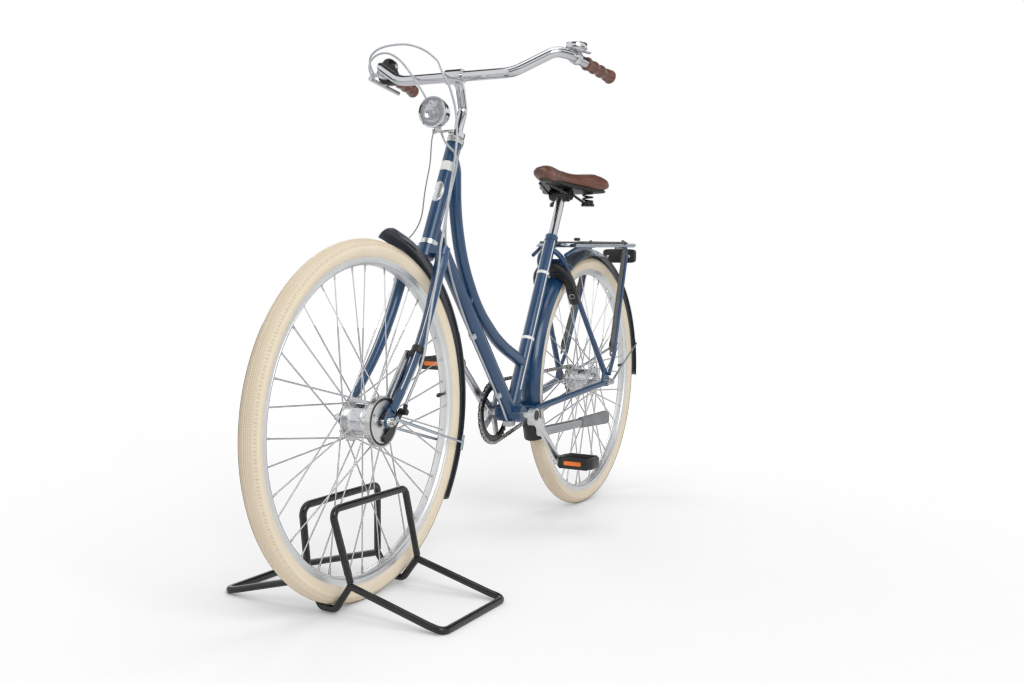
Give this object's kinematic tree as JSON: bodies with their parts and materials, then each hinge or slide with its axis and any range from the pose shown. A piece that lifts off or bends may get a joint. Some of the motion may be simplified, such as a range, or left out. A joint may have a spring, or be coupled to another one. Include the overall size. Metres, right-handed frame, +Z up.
{
  "type": "city bicycle in a wheel stand",
  "caption": "Step-through city bicycle with swan-neck top tube, swept bars, rear rack and mudguards, its front wheel held in a tubular wheel stand.",
  "frame": {"origin": "on the floor under the middle of the object's box", "axes": "-Y forward, +X the bicycle's left, +Z up"},
  "size_m": [0.5697, 1.8108, 1.1668],
  "materials": {
    "blue_paint": "deep blue gloss enamel",
    "chrome": "polished chrome",
    "silver": "satin aluminium",
    "steel": "bright steel wire",
    "cream_rubber": "cream rubber, fine tread",
    "brown_leather": "brown leather look, satin",
    "black_plastic": "moulded black plastic",
    "black_steel": "black powder coat",
    "slate_paint": "slate blue gloss",
    "black_rubber": "ribbed elastic",
    "cable": "pale grey cable housing"
  },
  "bodies": {
    "front_end": {"fork": "blue_paint", "stem": "chrome", "handlebar": "chrome", "grips": "brown_leather", "bell": "chrome", "brake_lever": "silver", "gear_shifter": "black_plastic", "headlamp": "chrome", "front_mudguard": "slate_paint", "front_mudguard_stays": "steel", "front_brake": "silver", "hub_fittings": "black_plastic", "brake_cable": "cable", "lamp_wire": "cable", "stand_feet": "black_steel", "stand_legs": "black_steel", "stand_cradles": "black_steel", "stand_hoops": "black_steel"},
    "front_wheel": {"front_tyre": "cream_rubber", "front_rim": "silver", "front_spokes": "steel", "front_hub": "silver"},
    "frame": {"head_tube": "blue_paint", "headset_cups": "chrome", "top_tube": "blue_paint", "down_tube": "blue_paint", "seat_tube": "blue_paint", "bottom_bracket": "blue_paint", "chain_stays": "blue_paint", "seat_stays": "blue_paint", "seat_post": "chrome", "saddle": "brown_leather", "saddle_frame": "black_steel", "saddle_springs": "black_steel", "rack": "blue_paint", "rack_legs": "blue_paint", "rack_straps": "black_rubber", "rear_lamp": "black_plastic", "rear_mudguard": "slate_paint", "rear_mudguard_flap": "black_plastic", "rear_mudguard_stays": "steel", "ring_lock": "black_plastic", "rear_axle": "silver", "chain": "steel", "kickstand_bracket": "silver", "gear_cable": "cable", "cable_clips": "cable"},
    "rear_wheel": {"rear_tyre": "cream_rubber", "rear_rim": "silver", "rear_spokes": "steel", "rear_hub": "silver"},
    "crank": {"left_crank": "silver", "right_crank": "silver", "chainring": "black_steel"},
    "left_pedal": {"left_pedal": "black_plastic"},
    "right_pedal": {"right_pedal": "black_plastic"},
    "kickstand": {"kickstand": "silver"}
  },
  "joints": [
    {"name": "front_wheel_spin", "type": "hinge", "parent": "front_end", "child": "front_wheel", "pos_m": [0, -0.559, 0.35], "axis": [1, 0, 0], "continuous": true},
    {"name": "steering", "type": "hinge", "parent": "front_end", "child": "frame", "pos_m": [0, -0.33413, 0.70358], "axis": [0, 0.4147, 0.91], "range_deg": [-60, 60], "deforming": ["gear_cable"]},
    {"name": "rear_wheel_spin", "type": "hinge", "parent": "frame", "child": "rear_wheel", "pos_m": [0, 0.527, 0.35], "axis": [1, 0, 0], "continuous": true},
    {"name": "crank_spin", "type": "hinge", "parent": "frame", "child": "crank", "pos_m": [0, 0.0662, 0.3], "axis": [1, 0, 0], "continuous": true},
    {"name": "left_pedal_spin", "type": "hinge", "parent": "crank", "child": "left_pedal", "pos_m": [0.078, 0.18214, 0.17567], "axis": [1, 0, 0], "continuous": true},
    {"name": "right_pedal_spin", "type": "hinge", "parent": "crank", "child": "right_pedal", "pos_m": [-0.078, -0.04973, 0.42433], "axis": [1, 0, 0], "continuous": true},
    {"name": "kickstand_fold", "type": "hinge", "parent": "frame", "child": "kickstand", "pos_m": [0.043, 0.1462, 0.274], "axis": [-1, 0, 0], "range_deg": [0, 46]}
  ]
}
